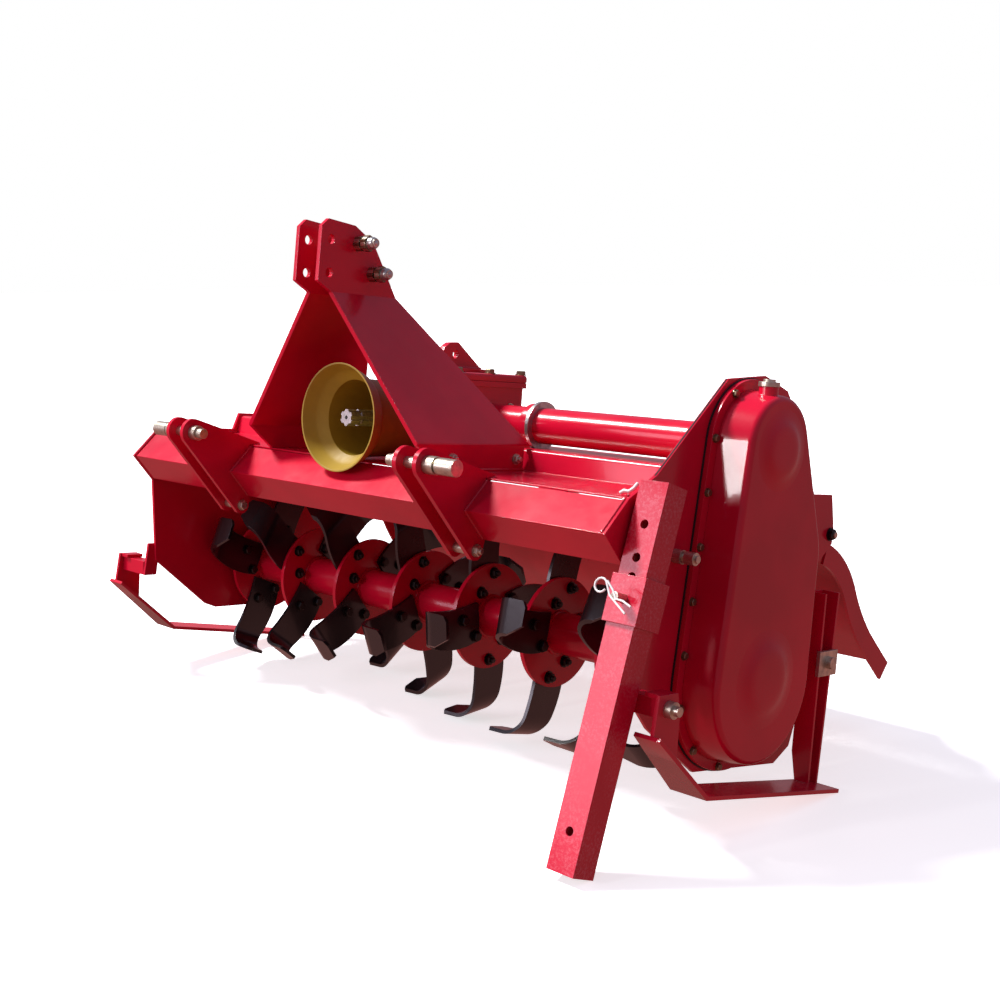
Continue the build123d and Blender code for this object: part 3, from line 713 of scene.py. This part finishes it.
def add_spring_clip():
    """The bent wire through the end of the leg's pin, and the wire hook above it."""
    clip = bmesh.new()
    down = way(0, -math.sin(LEG_LEAN), -math.cos(LEG_LEAN))
    ahead = way(0, -math.cos(LEG_LEAN), math.sin(LEG_LEAN))
    middle = at(*LEG_PIN) + ahead * CLIP_AHEAD / 1000
    angles = [0.5 + math.tau * k / 14 for k in range(13)]
    across, lower = CLIP_LOOP_AWAY
    loop = [(CLIP_LOOP * math.cos(a) + across, CLIP_LOOP * math.sin(a) + lower) for a in angles]
    for turns in (loop + CLIP_LEGS[0], CLIP_LEGS[1]):
        tube(clip, [middle + way(x, 0, 0) / 1000 + down * s / 1000 for x, s in turns], [CLIP_WIRE], 8)
    hardware(clip, "spring_clip", "pale", "frame")

    hook = bmesh.new()
    tube(hook, [at(*point) for point in HOOK], [HOOK_WIRE], 8)
    hardware(hook, "spring_hook", "pale", "frame")


def add_case_gasket():
    """The black gasket that shows round the gear case's flange: a hull over the case's three circles."""
    gasket = bmesh.new()
    for y, z, radius in CASE_ENDS:
        plug(gasket, at(GASKET_START, y, z), way(1, 0, 0), radius + GASKET_MARGIN, GASKET_DEPTH, 96)
    made = bmesh.ops.convex_hull(gasket, input=gasket.verts)
    bmesh.ops.delete(gasket, geom=made["geom_interior"] + made["geom_unused"], context="VERTS")
    bmesh.ops.dissolve_limit(gasket, angle_limit=math.radians(0.5), verts=gasket.verts, edges=gasket.edges)
    hardware(gasket, "case_gasket", "rubber", "frame")


class TILLER_OT_trim(bpy.types.Operator):
    """Adds the clamp ring, a black strip of painted shade along the side plate's edge, the leg pin's spring
    clip and the case's gasket
    """

    bl_idname = "tiller.trim"
    # Here trim means the black strip of painted shade along the side plate's edge.
    bl_label = "Clamp, trim, clip, gasket"

    def execute(self, context):
        add_seal_clamp()
        add_edge_shade_strip()
        add_spring_clip()
        add_case_gasket()
        return {"FINISHED"}


class TILLER_OT_welds(bpy.types.Operator):
    """Runs the frame's weld beads"""

    bl_idname = "tiller.welds"
    bl_label = "Weld beads"

    def execute(self, context):
        bm = bmesh.new()
        for side in SIDES:
            bead(bm, side * MAST_WELD, MAST_SEAM)
            for x in HITCH_WELDS:
                bead(bm, side * x, HITCH_SEAM, FINE_WELD)
            bead(bm, side * PLATE_WELD, BEAM_SEAM, HEAVY_WELD)
            bead(bm, side * PLATE_WELD, HOOD_SEAM, FINE_WELD)
        ring_bead(bm, TUBE_WELD, *DRIVE_TUBE, TUBE_WELD_RADIUS, HEAVY_WELD)
        for x in LUG_WELDS:
            bead(bm, x, LUG_SEAM, FINE_WELD)
        hardware(bm, "weld_beads", "crimson", "frame")
        return {"FINISHED"}


# ---------------------------------------------------------------- stage
CAMERA_PLACE = (2.1962, -2.3383, 1.0139)
CAMERA_TURN = (0.687775, 0.58989, 0.279578, 0.31754)
CAMERA_SHIFT = (0.20095, -0.01786)
SENSOR_WIDTH = 36
FLOOR_HALF = 60
GROUND_LIGHT, SKY_LIGHT = (0.44, 0.19, 0.17), (0.27, 0.24, 0.34)
LOW_RAY, HIGH_RAY = -0.25, 0.35  # a ray's rise where the ground's light ends and the sky's begins
KEY_TRAVEL = (0.56, 0.3, -0.77)
KEY_SPREAD = math.radians(12)
PANEL_AIM = (0, 0, 0.5)
PANELS = [  # name, share of the sheen's power, colour, width, height, place
    ("sheen_panel", 1.0, (0.96, 0.85, 1.0), 3.6, 2.4, (-3.8, -6.2, 2.6)),
    ("glint_panel", 0.45, (1.0, 1.0, 1.0), 0.32, 1.0, (-0.97, -6.5, 2.15)),
]


def add_floor():
    """A pale floor that the lights and paints don't see."""
    bm = bmesh.new()
    bmesh.ops.create_grid(bm, x_segments=1, y_segments=1, size=FLOOR_HALF)
    floor = finish_mesh(bm, "floor", floor_finish())
    floor.visible_diffuse = False
    floor.visible_glossy = False


def surroundings(fill):
    """A white backdrop for the camera, and a dim warm ground and cool sky for everything else."""
    world = bpy.data.worlds.new("studio")
    world.use_nodes = True
    nodes, links = world.node_tree.nodes, world.node_tree.links
    ray = nodes.new("ShaderNodeSeparateXYZ")
    links.new(nodes.new("ShaderNodeTexCoord").outputs["Generated"], ray.inputs[0])
    height = nodes.new("ShaderNodeMapRange")
    height.inputs["From Min"].default_value = LOW_RAY
    height.inputs["From Max"].default_value = HIGH_RAY
    links.new(ray.outputs["Z"], height.inputs["Value"])
    round_about = nodes.new("ShaderNodeMix")
    round_about.data_type = "RGBA"
    round_about.inputs[6].default_value = tuple(c * fill for c in GROUND_LIGHT) + (1,)
    round_about.inputs[7].default_value = tuple(c * fill for c in SKY_LIGHT) + (1,)
    links.new(height.outputs["Result"], round_about.inputs["Factor"])
    shown = nodes.new("ShaderNodeMix")
    shown.data_type = "RGBA"
    shown.inputs[7].default_value = (1, 1, 1, 1)
    links.new(nodes.new("ShaderNodeLightPath").outputs["Is Camera Ray"], shown.inputs["Factor"])
    links.new(round_about.outputs[2], shown.inputs[6])
    links.new(shown.outputs[2], nodes["Background"].inputs["Color"])
    return world


def hang(name, light, travel):
    """Adds a light to the scene that shines along travel."""
    lamp = bpy.data.objects.new(name, light)
    lamp.rotation_euler = travel.to_track_quat("-Z", "Y").to_euler()
    bpy.context.scene.collection.objects.link(lamp)
    return lamp


def add_lights(studio):
    """One broad key light and two panels that the glossy paint mirrors."""
    light = bpy.data.lights.new("key_light", "SUN")
    light.energy = studio.key
    light.angle = KEY_SPREAD
    hang("key_light", light, Vector(KEY_TRAVEL))
    for name, share, colour, width, height, place in PANELS:
        light = bpy.data.lights.new(name, "AREA")
        light.shape = "RECTANGLE"
        light.size = width
        light.size_y = height
        light.energy = share * studio.sheen_power
        light.color = colour
        hang(name, light, Vector(PANEL_AIM) - Vector(place)).location = place


def add_camera(lens):
    """The camera that the final picture is taken with."""
    camera = bpy.data.cameras.new("camera")
    camera.lens = lens
    camera.sensor_width = SENSOR_WIDTH
    camera.shift_x, camera.shift_y = CAMERA_SHIFT
    eye = bpy.data.objects.new("camera", camera)
    eye.location = CAMERA_PLACE
    eye.rotation_mode = "QUATERNION"
    eye.rotation_quaternion = CAMERA_TURN
    bpy.context.scene.collection.objects.link(eye)
    bpy.context.scene.camera = eye


class TILLER_OT_studio(bpy.types.Operator):
    """Adds the floor, the backdrop, the lights and the camera"""

    bl_idname = "tiller.studio"
    bl_label = "Studio"

    def execute(self, context):
        studio = context.scene.tiller_studio
        add_floor()
        context.scene.world = surroundings(studio.fill)
        context.scene.view_settings.view_transform = "Standard"
        add_lights(studio)
        add_camera(studio.lens)
        return {"FINISHED"}


# ---------------------------------------------------------------- panel and registration
class TILLER_PT_panel(bpy.types.Panel):
    """Lists the tiller's pieces"""

    bl_label = "Rotary tiller"
    bl_idname = "TILLER_PT_panel"
    bl_space_type = "VIEW_3D"
    bl_region_type = "UI"
    bl_category = "Tiller"

    def draw(self, context):
        scene = context.scene
        for group in (scene.tiller_paint, scene.tiller_edges, scene.tiller_studio):
            for name in group.__annotations__:
                self.layout.prop(group, name)
        for operator in OPERATORS:
            self.layout.operator(operator.bl_idname)


OPERATORS = (
    TILLER_OT_finishes, TILLER_OT_weldment, TILLER_OT_blades, TILLER_OT_plated, TILLER_OT_blade_bolts,
    TILLER_OT_case_bolts, TILLER_OT_domes, TILLER_OT_trim, TILLER_OT_welds, TILLER_OT_studio,
)
CLASSES = (PaintSettings, EdgeSettings, StudioSettings, *OPERATORS, TILLER_PT_panel)


def register():
    for cls in CLASSES:
        bpy.utils.register_class(cls)
    bpy.types.Scene.tiller_paint = PointerProperty(type=PaintSettings)
    bpy.types.Scene.tiller_edges = PointerProperty(type=EdgeSettings)
    bpy.types.Scene.tiller_studio = PointerProperty(type=StudioSettings)


def unregister():
    for name in ("tiller_paint", "tiller_edges", "tiller_studio"):
        delattr(bpy.types.Scene, name)
    for cls in reversed(CLASSES):
        bpy.utils.unregister_class(cls)


def main():
    register()
    for operator in OPERATORS:
        group, name = operator.bl_idname.split(".")
        getattr(getattr(bpy.ops, group), name)()


if __name__ == "__main__":
    main()
